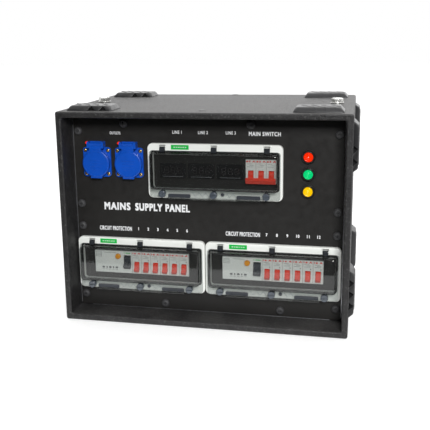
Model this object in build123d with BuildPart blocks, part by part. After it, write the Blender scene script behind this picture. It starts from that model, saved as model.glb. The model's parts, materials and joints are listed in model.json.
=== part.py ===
from build123d import *
import os
from math import cos, radians, sin

os.makedirs("parts", exist_ok=True)

# Portable power distribution box, in millimetres. The origin is the centre of the case's underside.
# The operating front looks along -Y, the inlet and multi-pole outlets are at +Y, and +Z is up.

# Case sleeve
WIDTH = 510.0
DEPTH = 340.0
HEIGHT = 384.0
WALL = 11.0
CORNER_R = 4.0
RIM_R = 3.0
FRONT = -DEPTH / 2
REAR = DEPTH / 2

# Stacking pads on the top and both sides, and the shallow sockets for them in the underside
PAD_PROUD = 10.0
PAD_LENGTH = 84.0
PAD_DEPTH = 52.0
PAD_X = 198.0
PAD_Y = 128.0
PAD_Z = (74.0, 328.0)
PAD_SOCKET_DEPTH = 3.0

# Two 19-inch panels, eight height units tall, screwed to rails inside the sleeve
PANEL_W = 482.6
PANEL_H = 354.8
PANEL_T = 3.0
PANEL_Z = 190.8
PANEL_FRONT = FRONT + 50.0
PANEL_BACK = PANEL_FRONT + PANEL_T
REAR_FACE = REAR - 70.0
REAR_BACK = REAR_FACE - PANEL_T
SCREW_X = 232.55
SCREW_ROWS = (34.0, 167.3, 209.3, 344.0)
EXTRA_SCREWS = ((-146.0, 358.5), (82.5, 358.5), (-77.4, 24.2), (134.7, 24.2))
RAIL_T = 2.5
RAIL_INNER_X = 222.5
RAIL_LEG = 22.0

# Modular devices: 17.9 mm pitch, a nose standing through the panel and a body on a 35 mm rail
MODULE = 17.9
NOSE_FRONT = PANEL_FRONT - 4.0
NOSE_HALF = 20.8
SHOULDER_Y = PANEL_BACK + 5.0
BODY_HALF = 42.5
BODY_BACK = NOSE_FRONT + 66.0
RAIL_SEAT_Y = BODY_BACK - 5.5
RAIL_SEAT_HALF = 17.8
DEVICE_GAP = 0.2

# Window covers: centres of the three frames, and what every frame shares
WINDOWS = {"top": (18.5, 275.5), "left": (-120.7, 98.5), "right": (120.7, 98.5)}
FRAME_W = 240.0
FRAME_H = 98.0
FRAME_R = 9.0
FRAME_FRONT = PANEL_FRONT - 8.0
DEVICE_RISE = 2.0
STATIONS = (-92.5, 0.0, 92.5)
HINGE_Z = 41.0
HINGE_Y = FRAME_FRONT + 2.0
HINGE_PIN_R = 1.25
TAB_W = 9.5
LID_BACK = FRAME_FRONT - 0.3
LID_T = 2.5
DOME_FRONT = PANEL_FRONT - 26.0
DOME_W = 226.0
DOME_H = 66.0
DOME_RISE = 2.0
KNOB_Z = -39.5
KNOB_R = 6.5
KNOB_STEM_R = 2.5

# Devices behind the windows
METER_X = (-56.8, -5.3, 46.4)
METER_Z = 276.0
MAIN_X = 100.5
TOGGLE_W = 9.0
TOGGLE_DROP = 6.5
TOGGLE_TILT = 35.0
TOGGLE_PIVOT_Y = NOSE_FRONT + 6.0
HUB_R = 8.2
RCD_LEVER_PIVOT_Y = NOSE_FRONT + 10.0
RCD_LEVER_RISE = 1.3
RCD_HUB_R = 10.4
TEST_BUTTON_R = 4.9

# Flanged round socket outlets with hinged lids
SOCKETS = (-197.5, -137.0)
SOCKET_Z = 286.5
FLANGE_Z = 288.4
SOCKET_PIN_Y = PANEL_FRONT - 8.2
SOCKET_PIN_Z = 320.5
SOCKET_PIN_R = 1.5
SOCKET_LID_R = 25.2
WELL_R = 19.6

# Indicators
LED_Z = 323.0
LED_SHIFT = -19.3
LAMP_X = 181.0
LAMP_Z = {"lamp_red": 305.0, "lamp_green": 275.0, "lamp_yellow": 245.0}
BEZEL_R = 11.8
LENS_R = 8.8

# Rear: round five-pole inlet, and one 16-pole outlet for each group of six breakers
INLET_X = -120.0
INLET_Z = 272.0
INLET_R = 36.0
INLET_MOUTH = REAR_FACE + 50.0
INLET_PIN_Y = INLET_MOUTH - 4.0
INLET_PIN_Z = INLET_Z + 44.0
OUTLETS = (-105.0, 105.0)
OUTLET_Z = 100.0
OUTLET_PIVOT_Y = REAR_FACE + 21.0
OUTLET_HALF = 49.0

# Hand wells in the side walls, and the lifting bolts in the top
GRIP_Z = 201.0
GRIP_L = 120.0
GRIP_H = 44.0
GRIP_SINK = 38.0
BOLT_X = 223.0


def save(piece, label):
    """Label a finished piece and write its STEP file."""
    piece.part.label = label
    export_step(piece.part, f"parts/{label}.step")


def facing_front(y):
    """Plane at y whose local axes are X and Z and whose normal points to the front, -Y."""
    return Plane.XZ.offset(-y)


def block(x0, x1, y0, y1, z0, z1, mode=Mode.ADD):
    """Rectangular block between two corners."""
    with Locations(((x0 + x1) / 2, (y0 + y1) / 2, (z0 + z1) / 2)):
        Box(x1 - x0, y1 - y0, z1 - z0, mode=mode)


def plate(x, z, width, height, corner, y0, y1, mode=Mode.ADD):
    """Upright plate with rounded corners, centred on (x, z), from y0 back to y1."""
    with BuildSketch(facing_front(y1)) as outline:
        with Locations((x, z)):
            RectangleRounded(width, height, corner)
    extrude(outline.sketch, amount=y1 - y0, mode=mode)


def discs(centres, radius, y0, y1, mode=Mode.ADD):
    """Round bars along Y at each (x, z) centre, from y0 back to y1."""
    with BuildSketch(facing_front(y1)) as rounds:
        with Locations(*centres):
            Circle(radius)
    extrude(rounds.sketch, amount=y1 - y0, mode=mode)


def rod_x(x0, x1, y, z, radius, mode=Mode.ADD):
    """Round bar along X."""
    with BuildSketch(Plane.YZ.offset(x0)) as section:
        with Locations((y, z)):
            Circle(radius)
    extrude(section.sketch, amount=x1 - x0, mode=mode)


def toward_front(x, y, z):
    """Placement whose local +Z points out of the front."""
    return Plane(origin=(x, y, z), x_dir=(1, 0, 0), z_dir=(0, -1, 0)).location


def toward_rear(x, y, z):
    """Placement whose local +Z points out of the rear."""
    return Plane(origin=(x, y, z), x_dir=(-1, 0, 0), z_dir=(0, 1, 0)).location


# ---------------------------------------------------------------- case, pads, grips and bolts

def pad_blank():
    """Stacking pad lying on XY: tapered flanks and two gable notches in its -Y flank."""
    notch_half, notch_rise, notch_reach = 8.0, 8.5, 10.0
    with BuildPart() as pad:
        with BuildSketch():
            RectangleRounded(PAD_LENGTH, PAD_DEPTH, 3)
        extrude(amount=PAD_PROUD, taper=28)
        for centre in (4.0, 25.5):
            with BuildSketch(Plane.XZ.offset(PAD_DEPTH / 2)):
                with BuildLine():
                    Polyline((centre - notch_half, 0), (centre, notch_rise), (centre + notch_half, 0), close=True)
                make_face()
            extrude(amount=-notch_reach, mode=Mode.SUBTRACT)
    return pad.part


def pad_places():
    """Twelve pads: four on the top and four on each side, notches turned as the mould turns them."""
    places = []
    for sx in (-1, 1):
        for sy in (-1, 1):
            turn = 0 if sx < 0 else 180
            places.append(Location((sx * PAD_X, sy * PAD_Y, HEIGHT), (0, 0, turn)))
            for z in PAD_Z:
                side = Plane(origin=(sx * WIDTH / 2, sy * PAD_Y, z), x_dir=(0, 0, sx * sy), z_dir=(sx, 0, 0))
                places.append(side.location)
    return places


pad_shape = pad_blank()

with BuildPart() as stacking_pads:
    for place in pad_places():
        with Locations(place):
            add(pad_shape)
save(stacking_pads, "stacking_pads")

with BuildPart() as case_shell:
    with BuildSketch(facing_front(REAR)):
        with Locations((0, HEIGHT / 2)):
            RectangleRounded(WIDTH, HEIGHT, CORNER_R)
            RectangleRounded(WIDTH - 2 * WALL, HEIGHT - 2 * WALL, CORNER_R, mode=Mode.SUBTRACT)
    extrude(amount=DEPTH)
    rims = case_shell.faces().sort_by(Axis.Y)
    fillet(rims[0].edges() + rims[-1].edges(), radius=RIM_R)
    # sockets in the underside for the pads of the box below
    with BuildSketch(Plane.XY):
        with Locations(*[(sx * PAD_X, sy * PAD_Y) for sx in (-1, 1) for sy in (-1, 1)]):
            RectangleRounded(PAD_LENGTH + 2, PAD_DEPTH + 2, 4)
    extrude(amount=PAD_SOCKET_DEPTH, mode=Mode.SUBTRACT)
    # clearance for the lifting bolts
    with Locations((-BOLT_X, 0, HEIGHT), (BOLT_X, 0, HEIGHT)):
        Cylinder(6.5, 4 * WALL, mode=Mode.SUBTRACT)
    # a moulding mark: a shallow ring in the front rim
    discs([(206.0, HEIGHT - WALL / 2)], 4.6, FRONT, FRONT + 0.8, mode=Mode.SUBTRACT)
    discs([(206.0, HEIGHT - WALL / 2)], 3.8, FRONT, FRONT + 0.8)
    # openings and rebates for the hand wells
    for side in (-1, 1):
        with BuildSketch(Plane.YZ.offset(side * (WIDTH / 2 + 1))):
            with Locations((0, GRIP_Z)):
                RectangleRounded(GRIP_L + 0.6, GRIP_H + 0.6, 10.3)
        extrude(amount=-side * (WALL + 2), mode=Mode.SUBTRACT)
        with BuildSketch(Plane.YZ.offset(side * (WIDTH / 2 + 1))):
            with Locations((0, GRIP_Z)):
                RectangleRounded(GRIP_L + 18.6, GRIP_H + 18.6, 12.3)
        extrude(amount=-side * 4, mode=Mode.SUBTRACT)
save(case_shell, "case_shell")

with BuildPart() as side_grips:
    for side in (-1, 1):
        with BuildSketch(Plane.YZ.offset(side * WIDTH / 2)):
            with Locations((0, GRIP_Z)):
                RectangleRounded(GRIP_L + 18, GRIP_H + 18, 12)
        extrude(amount=-side * 3)
        with BuildSketch(Plane.YZ.offset(side * (WIDTH / 2 - 3))):
            with Locations((0, GRIP_Z)):
                RectangleRounded(GRIP_L, GRIP_H, 10)
        extrude(amount=-side * (GRIP_SINK - 3))
        with BuildSketch(Plane.YZ.offset(side * WIDTH / 2)):
            with Locations((0, GRIP_Z)):
                RectangleRounded(GRIP_L - 6, GRIP_H - 6, 7)
        extrude(amount=-side * (GRIP_SINK - 3), mode=Mode.SUBTRACT)
save(side_grips, "side_grips")

with BuildPart() as lifting_bolts:
    for x in (-BOLT_X, BOLT_X):
        with BuildSketch(Plane.XY.offset(HEIGHT)):
            with Locations((x, 0)):
                Circle(12)
        extrude(amount=2)
        with BuildSketch(Plane.XY.offset(HEIGHT + 2)):
            with Locations((x, 0)):
                RegularPolygon(9.5, 6, major_radius=False, rotation=12)
        extrude(amount=7.5)
        with BuildSketch(Plane.XY.offset(HEIGHT - 40)):
            with Locations((x, 0)):
                Circle(6)
        extrude(amount=42)
        with BuildSketch(Plane.XY.offset(HEIGHT - WALL - 10)):
            with Locations((x, 0)):
                RegularPolygon(9.5, 6, major_radius=False)
                Circle(6.05, mode=Mode.SUBTRACT)
        extrude(amount=10)
save(lifting_bolts, "lifting_bolts")


# ---------------------------------------------------------------- panels, rails and screws

def device_z(window):
    """Height of the device row behind a window."""
    return WINDOWS[window][1] + DEVICE_RISE


def row_start(window):
    """Left end of the ten-module row behind a lower window."""
    return WINDOWS[window][0] - 5 * MODULE


def breaker_places():
    """Centres of the twelve single-pole breakers, left to right."""
    places = []
    for window in ("left", "right"):
        for i in range(6):
            places.append((row_start(window) + (4.5 + i) * MODULE, device_z(window)))
    return places


def rcd_places():
    """Centres of the two four-module residual-current breakers."""
    return [(row_start(window) + 2 * MODULE, device_z(window)) for window in ("left", "right")]


def rack_screws():
    """Screws in the four rows at the panel's ends."""
    return [(sx * SCREW_X, z) for sx in (-1, 1) for z in SCREW_ROWS]


def socket_screw_places():
    """Four flange screws round each socket outlet."""
    return [(x + dx, FLANGE_Z + dz) for x in SOCKETS for dx in (-21.3, 21.3) for dz in (-21.3, 21.3)]


with BuildPart() as front_panel:
    plate(0, PANEL_Z, PANEL_W, PANEL_H, 2, PANEL_FRONT, PANEL_BACK)
    discs(rack_screws() + list(EXTRA_SCREWS), 3.3, PANEL_FRONT, PANEL_BACK, mode=Mode.SUBTRACT)
    discs([(x, SOCKET_Z) for x in SOCKETS], 22.0, PANEL_FRONT, PANEL_BACK, mode=Mode.SUBTRACT)
    discs(socket_screw_places(), 2.2, PANEL_FRONT, PANEL_BACK, mode=Mode.SUBTRACT)
    discs([(x + LED_SHIFT, LED_Z) for x in SOCKETS], 2.6, PANEL_FRONT, PANEL_BACK, mode=Mode.SUBTRACT)
    discs([(LAMP_X, z) for z in LAMP_Z.values()], 8.1, PANEL_FRONT, PANEL_BACK, mode=Mode.SUBTRACT)
    for x in METER_X:
        plate(x, METER_Z, 43.6, 22.6, 1, PANEL_FRONT, PANEL_BACK, mode=Mode.SUBTRACT)
    main_half = 1.5 * MODULE + 0.3
    cut_half = NOSE_HALF + 0.4
    block(MAIN_X - main_half, MAIN_X + main_half, PANEL_FRONT, PANEL_BACK,
          device_z("top") - cut_half, device_z("top") + cut_half, mode=Mode.SUBTRACT)
    for window in ("left", "right"):
        start = row_start(window)
        block(start - 0.3, start + 10 * MODULE + 0.3, PANEL_FRONT, PANEL_BACK,
              device_z(window) - cut_half, device_z(window) + cut_half, mode=Mode.SUBTRACT)
save(front_panel, "front_panel")

with BuildPart() as rear_panel:
    plate(0, PANEL_Z, PANEL_W, PANEL_H, 2, REAR_BACK, REAR_FACE)
    discs(rack_screws(), 3.3, REAR_BACK, REAR_FACE, mode=Mode.SUBTRACT)
    discs([(INLET_X, INLET_Z)], 30.4, REAR_BACK, REAR_FACE, mode=Mode.SUBTRACT)
    for x in OUTLETS:
        plate(x, OUTLET_Z, 91, 31, 3, REAR_BACK, REAR_FACE, mode=Mode.SUBTRACT)
save(rear_panel, "rear_panel")

with BuildPart() as rack_rails:
    inner_half = WIDTH / 2 - WALL
    floor_z, roof_z = WALL, HEIGHT - WALL
    # upright angle rails: (face against the panel, open end of the leg)
    for near, far in ((PANEL_BACK, PANEL_BACK + RAIL_LEG), (REAR_BACK, REAR_BACK - RAIL_LEG)):
        step = RAIL_T if far > near else -RAIL_T
        low, high = sorted((near, near + step))
        leg_low, leg_high = sorted((near, far))
        for side in (-1, 1):
            inner, outer = sorted((side * RAIL_INNER_X, side * inner_half))
            block(inner, outer, low, high, floor_z + CORNER_R, roof_z - CORNER_R)
            inner, outer = sorted((side * (inner_half - RAIL_T), side * inner_half))
            block(inner, outer, leg_low, leg_high, floor_z + CORNER_R, roof_z - CORNER_R)
            discs([(side * SCREW_X, z) for z in SCREW_ROWS], 3.0, low, high, mode=Mode.SUBTRACT)
    # level battens above and below the front panel's edges
    batten_x = RAIL_INNER_X - 0.5
    for z0, z1, web0, web1 in ((floor_z, 36.0, floor_z, floor_z + RAIL_T), (348.0, roof_z, roof_z - RAIL_T, roof_z)):
        block(-batten_x, batten_x, PANEL_BACK, PANEL_BACK + RAIL_T, z0, z1)
        block(-batten_x, batten_x, PANEL_BACK, PANEL_BACK + RAIL_LEG, web0, web1)
    discs(EXTRA_SCREWS, 3.0, PANEL_BACK, PANEL_BACK + RAIL_T, mode=Mode.SUBTRACT)
save(rack_rails, "rack_rails")


def dome_screw(head_r, head_h, shank_r, shank_l):
    """Screw standing on XY: a domed head with a cross drive above, its shank below."""
    with BuildPart() as screw:
        with BuildSketch(Plane.XZ):
            with BuildLine():
                Line((0, -shank_l), (shank_r, -shank_l))
                Line((shank_r, -shank_l), (shank_r, 0))
                Line((shank_r, 0), (head_r, 0))
                Line((head_r, 0), (head_r, head_h * 0.3))
                ThreePointArc((head_r, head_h * 0.3), (head_r * 0.8, head_h * 0.8), (head_r * 0.5, head_h))
                Line((head_r * 0.5, head_h), (0, head_h))
                Line((0, head_h), (0, -shank_l))
            make_face()
        revolve(axis=Axis.Z)
        with BuildSketch(Plane.XY.offset(head_h)):
            Rectangle(head_r * 0.8, head_r * 0.2)
            Rectangle(head_r * 0.2, head_r * 0.8)
        extrude(amount=-head_h * 0.55, mode=Mode.SUBTRACT)
    return screw.part


panel_screw = dome_screw(7.6, 5.0, 2.9, 14.0)

with BuildPart() as panel_screws:
    for x, z in rack_screws() + list(EXTRA_SCREWS):
        with Locations(toward_front(x, PANEL_FRONT, z)):
            add(panel_screw)
    for x, z in rack_screws():
        with Locations(toward_rear(x, REAR_FACE, z)):
            add(panel_screw)
save(panel_screws, "panel_screws")


# ---------------------------------------------------------------- socket outlets and indicators

with BuildPart() as socket_bodies:
    body_back = PANEL_FRONT + 38.0
    flange_front = PANEL_FRONT - 4.0
    for x in SOCKETS:
        plate(x, FLANGE_Z, 52, 54, 6, flange_front, PANEL_FRONT)
        plate(x, 317.0, 31, 18, 1.5, flange_front, PANEL_FRONT)
        discs([(x, SOCKET_Z)], 21.5, PANEL_FRONT, body_back)
        discs([(x, SOCKET_Z)], 22.5, flange_front - 2.5, flange_front)
        discs([(x, SOCKET_Z)], WELL_R, flange_front - 2.5, flange_front + 18.5, mode=Mode.SUBTRACT)
        # contact entries with a wider chamber behind each, and slots for the earth clips
        entries = [(x - 9.5, SOCKET_Z), (x + 9.5, SOCKET_Z)]
        discs(entries, 2.6, flange_front, body_back, mode=Mode.SUBTRACT)
        discs(entries, 3.5, flange_front + 22, body_back, mode=Mode.SUBTRACT)
        for dz in (-17.9, 17.9):
            block(x - 2.8, x + 2.8, flange_front + 18, body_back, SOCKET_Z + dz - 0.8, SOCKET_Z + dz + 0.8,
                  mode=Mode.SUBTRACT)
        # lid hinge ears
        for side in (-1, 1):
            inner, outer = sorted((side * 11.3, side * 15.5))
            block(x + inner, x + outer, flange_front - 9, flange_front, 314.5, 326.0)
        rod_x(x - 16, x + 16, SOCKET_PIN_Y, SOCKET_PIN_Z, SOCKET_PIN_R + 0.05, mode=Mode.SUBTRACT)
    discs(socket_screw_places(), 2.2, flange_front, PANEL_FRONT, mode=Mode.SUBTRACT)
save(socket_bodies, "socket_bodies")


def make_socket_lid(label, x):
    """Round lid with a finger lip below and a hinge arm above."""
    back = PANEL_FRONT - 4.3
    face = PANEL_FRONT - 13.0
    with BuildPart() as lid:
        discs([(x, SOCKET_Z)], SOCKET_LID_R, face, back)
        fillet(lid.faces().sort_by(Axis.Y)[0].edges(), radius=2.2)
        block(x - 10.5, x + 10.5, face + 1.5, face + 5, SOCKET_Z - 26.8, SOCKET_Z - 18)
        block(x - 11, x + 11, face, face + 3.5, SOCKET_Z + 18, SOCKET_PIN_Z)
        rod_x(x - 11, x + 11, SOCKET_PIN_Y, SOCKET_PIN_Z, 3.6)
        discs([(x, SOCKET_Z)], SOCKET_LID_R - 1.6, back - 3.2, back, mode=Mode.SUBTRACT)
        rod_x(x - 12, x + 12, SOCKET_PIN_Y, SOCKET_PIN_Z, SOCKET_PIN_R + 0.06, mode=Mode.SUBTRACT)
    save(lid, label)


for number, socket_x in enumerate(SOCKETS, 1):
    make_socket_lid(f"socket_lid_{number}", socket_x)

flange_screw = dome_screw(3.3, 2.0, 2.0, 12.0)

with BuildPart() as socket_screws:
    for x, z in socket_screw_places():
        with Locations(toward_front(x, PANEL_FRONT - 4.0, z)):
            add(flange_screw)
save(socket_screws, "socket_screws")


def lens(x, z, radius, base_y, rise):
    """Domed lens whose flat back is at base_y."""
    discs([(x, z)], radius, base_y - rise * 0.5, base_y)
    with BuildSketch(Plane(origin=(x, base_y - rise * 0.5, z), x_dir=(1, 0, 0), z_dir=(0, 0, 1))) as dome:
        with BuildLine():
            ThreePointArc((radius, 0), (radius * 0.66, -rise * 0.37), (0, -rise * 0.5))
            Line((0, -rise * 0.5), (0, 0))
            Line((0, 0), (radius, 0))
        make_face()
    revolve(dome.sketch, axis=Axis((x, 0, z), (0, 1, 0)))


with BuildPart() as lamp_red:
    lens(LAMP_X, LAMP_Z["lamp_red"], LENS_R, PANEL_FRONT - 3.0, 8.5)
    for x in SOCKETS:
        lens(x + LED_SHIFT, LED_Z, 2.5, PANEL_FRONT + 2.0, 6.0)
save(lamp_red, "lamp_red")

with BuildPart() as lamp_green:
    lens(LAMP_X, LAMP_Z["lamp_green"], LENS_R, PANEL_FRONT - 3.0, 8.5)
save(lamp_green, "lamp_green")

with BuildPart() as lamp_yellow:
    lens(LAMP_X, LAMP_Z["lamp_yellow"], LENS_R, PANEL_FRONT - 3.0, 8.5)
save(lamp_yellow, "lamp_yellow")

with BuildPart() as lamp_bezels:
    for z in LAMP_Z.values():
        discs([(LAMP_X, z)], BEZEL_R, PANEL_FRONT - 5, PANEL_FRONT)
        discs([(LAMP_X, z)], 7.9, PANEL_FRONT, PANEL_FRONT + 32)
    chamfer(lamp_bezels.faces().group_by(Axis.Y)[0].edges(), length=1.6)
    for z in LAMP_Z.values():
        discs([(LAMP_X, z)], LENS_R + 0.15, PANEL_FRONT - 5, PANEL_FRONT - 3, mode=Mode.SUBTRACT)
        with BuildSketch(facing_front(PANEL_BACK + 4)):
            with Locations((LAMP_X, z)):
                RegularPolygon(11, 6, major_radius=False)
                Circle(8.0, mode=Mode.SUBTRACT)
        extrude(amount=4)
save(lamp_bezels, "lamp_bezels")


# ---------------------------------------------------------------- window covers

with BuildPart() as window_frames:
    for cx, cz in WINDOWS.values():
        plate(cx, cz, FRAME_W, FRAME_H, FRAME_R, FRAME_FRONT, PANEL_FRONT)
    fillet(window_frames.faces().group_by(Axis.Y)[0].edges(), radius=1.8)
    for cx, cz in WINDOWS.values():
        plate(cx, cz + DOME_RISE, DOME_W - 5, DOME_H, 4, FRAME_FRONT, PANEL_FRONT, mode=Mode.SUBTRACT)
        for dx in STATIONS:
            pocket = TAB_W / 2 + 0.5
            block(cx + dx - pocket, cx + dx + pocket, FRAME_FRONT, FRAME_FRONT + 6, cz + 34, cz + 47,
                  mode=Mode.SUBTRACT)
            rod_x(cx + dx - 9.3, cx + dx + 9.3, HINGE_Y, cz + HINGE_Z, HINGE_PIN_R + 0.05, mode=Mode.SUBTRACT)
        discs([(cx + dx, cz + KNOB_Z) for dx in STATIONS], 3.5, FRAME_FRONT, FRAME_FRONT + 6, mode=Mode.SUBTRACT)
save(window_frames, "window_frames")


def make_window_lid(label, cx, cz):
    """Smoked cover: flat flange, hollow dome over the devices, hinge tabs, knob holes and a pull lip."""
    face = LID_BACK - LID_T
    with BuildPart() as lid:
        plate(cx, cz + DOME_RISE, DOME_W, DOME_H, 7, DOME_FRONT, LID_BACK)
        fillet(lid.faces().sort_by(Axis.Y)[0].edges(), radius=5)
        plate(cx, cz - 5, DOME_W + 6, 84, 5, face, LID_BACK)
        block(cx - 83, cx + 83, face - 7.5, face, cz - 48.5, cz - 46)
        block(cx - 83, cx + 83, face, LID_BACK, cz - 48.5, cz - 46)
        for dx in STATIONS:
            left, right = cx + dx - TAB_W / 2, cx + dx + TAB_W / 2
            block(left, right, LID_BACK - 2.7, LID_BACK, cz + 30, cz + HINGE_Z + 1.5)
            block(left, right, LID_BACK, HINGE_Y, cz + HINGE_Z - 5, cz + HINGE_Z)
            rod_x(left, right, HINGE_Y, cz + HINGE_Z, 2.6)
        plate(cx, cz + DOME_RISE, DOME_W - 5, DOME_H - 5, 4.5, DOME_FRONT + LID_T, LID_BACK, mode=Mode.SUBTRACT)
        for dx in STATIONS:
            rod_x(cx + dx - TAB_W, cx + dx + TAB_W, HINGE_Y, cz + HINGE_Z, HINGE_PIN_R + 0.07, mode=Mode.SUBTRACT)
        discs([(cx + dx, cz + KNOB_Z) for dx in STATIONS], KNOB_STEM_R + 0.07, face, LID_BACK, mode=Mode.SUBTRACT)
    save(lid, label)


def make_lid_knob(label, x, z):
    """Quarter-turn screw: ribbed round head with a coin slot, stem through the lid's flange."""
    head_back = LID_BACK - LID_T - 0.3
    with BuildPart() as knob:
        discs([(x, z)], KNOB_R, head_back - 9, head_back)
        fillet(knob.faces().sort_by(Axis.Y)[0].edges(), radius=1)
        block(x - KNOB_R, x + KNOB_R, head_back - 9, head_back - 7, z - 0.8, z + 0.8, mode=Mode.SUBTRACT)
        with BuildSketch(facing_front(head_back - 1.5)):
            with Locations((x, z)):
                with PolarLocations(KNOB_R, 10):
                    Circle(0.8)
        extrude(amount=9, mode=Mode.SUBTRACT)
        discs([(x, z)], KNOB_STEM_R, head_back, FRAME_FRONT + 4)
    save(knob, label)


for window, (window_x, window_z) in WINDOWS.items():
    make_window_lid(f"window_lid_{window}", window_x, window_z)
    for number, shift in enumerate(STATIONS, 1):
        make_lid_knob(f"lid_knob_{window}_{number}", window_x + shift, window_z + KNOB_Z)


# ---------------------------------------------------------------- modular devices

def modular_body(x, z, modules):
    """Housing of a rail device: narrow nose in front, tall shoulders behind, a seat for the rail."""
    width = modules * MODULE - DEVICE_GAP
    with BuildSketch(Plane.YZ.offset(x - width / 2)) as profile:
        with BuildLine():
            Polyline(
                (NOSE_FRONT, z - NOSE_HALF), (NOSE_FRONT, z + NOSE_HALF), (SHOULDER_Y, z + NOSE_HALF),
                (SHOULDER_Y, z + BODY_HALF), (BODY_BACK, z + BODY_HALF), (BODY_BACK, z + RAIL_SEAT_HALF),
                (RAIL_SEAT_Y, z + RAIL_SEAT_HALF), (RAIL_SEAT_Y, z - RAIL_SEAT_HALF),
                (BODY_BACK, z - RAIL_SEAT_HALF), (BODY_BACK, z - BODY_HALF), (SHOULDER_Y, z - BODY_HALF),
                (SHOULDER_Y, z - NOSE_HALF), close=True)
        make_face()
    extrude(profile.sketch, amount=width)


def toggle_slot(x, z):
    """Slot in a nose for one toggle's hub."""
    half = TOGGLE_W / 2 + 0.4
    block(x - half, x + half, NOSE_FRONT, TOGGLE_PIVOT_Y + HUB_R + 0.4,
          z - TOGGLE_DROP - HUB_R - 0.4, z - TOGGLE_DROP + HUB_R + 0.4, mode=Mode.SUBTRACT)


def lever_arm(x0, width, pivot_y, pivot_z, hub_r, reach, thickness):
    """Hub with a paddle that points out of the front and down at the resting tilt."""
    turn = 180 + TOGGLE_TILT
    along = (cos(radians(turn)), sin(radians(turn)))
    with BuildSketch(Plane.YZ.offset(x0)) as side_view:
        with Locations((pivot_y, pivot_z)):
            Circle(hub_r)
        with Locations((pivot_y + along[0] * reach / 2, pivot_z + along[1] * reach / 2)):
            Rectangle(reach, thickness, rotation=turn)
    extrude(side_view.sketch, amount=width)


with BuildPart() as main_switch:
    modular_body(MAIN_X, device_z("top"), 3)
    for i in (-1, 0, 1):
        toggle_slot(MAIN_X + i * MODULE, device_z("top"))
save(main_switch, "main_switch")

with BuildPart() as main_lever:
    pivot_z = device_z("top") - TOGGLE_DROP
    for i in (-1, 0, 1):
        lever_arm(MAIN_X + i * MODULE - TOGGLE_W / 2, TOGGLE_W, TOGGLE_PIVOT_Y, pivot_z, HUB_R, 14.5, 5.5)
    tie_y = TOGGLE_PIVOT_Y - 15.0 * cos(radians(TOGGLE_TILT))
    tie_z = pivot_z - 15.0 * sin(radians(TOGGLE_TILT))
    with BuildSketch(Plane.YZ.offset(MAIN_X - 26)):
        with Locations((tie_y, tie_z)):
            Rectangle(6, 8.5, rotation=TOGGLE_TILT)
    extrude(amount=52)
save(main_lever, "main_lever")

with BuildPart() as breakers:
    for x, z in breaker_places():
        modular_body(x, z, 1)
    for x, z in breaker_places():
        toggle_slot(x, z)
save(breakers, "breakers")

for number, (breaker_x, breaker_z) in enumerate(breaker_places(), 1):
    with BuildPart() as breaker_toggle:
        lever_arm(breaker_x - TOGGLE_W / 2, TOGGLE_W, TOGGLE_PIVOT_Y, breaker_z - TOGGLE_DROP, HUB_R, 14.0, 5.5)
    save(breaker_toggle, f"breaker_toggle_{number:02d}")

# Residual-current breakers: lever at the right, test button left of it
RCD_LEVER_SHIFT = 26.5
RCD_LEVER_W = 13.0
TEST_SHIFT = 9.0
TEST_RISE = 11.0

with BuildPart() as rcds:
    for x, z in rcd_places():
        modular_body(x, z, 4)
        lever_x = x + RCD_LEVER_SHIFT
        half = RCD_LEVER_W / 2 + 0.4
        slot_half = RCD_HUB_R + 1.8
        block(lever_x - half, lever_x + half, NOSE_FRONT, RCD_LEVER_PIVOT_Y + slot_half,
              z + RCD_LEVER_RISE - slot_half, z + RCD_LEVER_RISE + slot_half, mode=Mode.SUBTRACT)
        discs([(x + TEST_SHIFT, z + TEST_RISE)], TEST_BUTTON_R + 0.35, NOSE_FRONT, NOSE_FRONT + 10,
              mode=Mode.SUBTRACT)
save(rcds, "rcds")

for number, (rcd_x, rcd_z) in enumerate(rcd_places(), 1):
    with BuildPart() as rcd_lever:
        lever_arm(rcd_x + RCD_LEVER_SHIFT - RCD_LEVER_W / 2, RCD_LEVER_W, RCD_LEVER_PIVOT_Y,
                  rcd_z + RCD_LEVER_RISE, RCD_HUB_R, 18.0, 7.0)
    save(rcd_lever, f"rcd_lever_{number}")
    with BuildPart() as test_button:
        discs([(rcd_x + TEST_SHIFT, rcd_z + TEST_RISE)], TEST_BUTTON_R, NOSE_FRONT - 3, NOSE_FRONT + 6)
        fillet(test_button.faces().sort_by(Axis.Y)[0].edges(), radius=0.8)
    save(test_button, f"test_button_{number}")

with BuildPart() as voltmeters:
    for x in METER_X:
        plate(x, METER_Z, 47, 26, 1.5, PANEL_FRONT - 4, PANEL_FRONT)
        plate(x, METER_Z, 43, 22, 1, PANEL_FRONT, PANEL_FRONT + 45)
        plate(x, METER_Z + 0.5, 41, 17, 1, PANEL_FRONT - 4, PANEL_FRONT - 3, mode=Mode.SUBTRACT)
save(voltmeters, "voltmeters")


def rail_profile(z):
    """Top-hat rail section in YZ, its open side to the front, centred on z."""
    lip_y, crown_y = RAIL_SEAT_Y + 0.3, RAIL_SEAT_Y + 7.8
    return [
        (lip_y, z + 17.5), (lip_y + 1, z + 17.5), (lip_y + 1, z + 13.5), (crown_y, z + 13.5),
        (crown_y, z - 13.5), (lip_y + 1, z - 13.5), (lip_y + 1, z - 17.5), (lip_y, z - 17.5),
        (lip_y, z - 12.5), (crown_y - 1, z - 12.5), (crown_y - 1, z + 12.5), (lip_y, z + 12.5)]


with BuildPart() as din_rails:
    crown_front = RAIL_SEAT_Y + 6.8
    rails = [(WINDOWS[w][0], device_z(w), 102.0) for w in ("left", "right")] + [(MAIN_X, device_z("top"), 36.0)]
    for x, z, half in rails:
        with BuildSketch(Plane.YZ.offset(x - half)):
            with BuildLine():
                Polyline(*rail_profile(z), close=True)
            make_face()
        extrude(amount=2 * half)
        discs([(x - half + 6.3, z), (x + half - 6.3, z)], 2.5, PANEL_BACK, crown_front)
save(din_rails, "din_rails")


# ---------------------------------------------------------------- rear fittings

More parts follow.
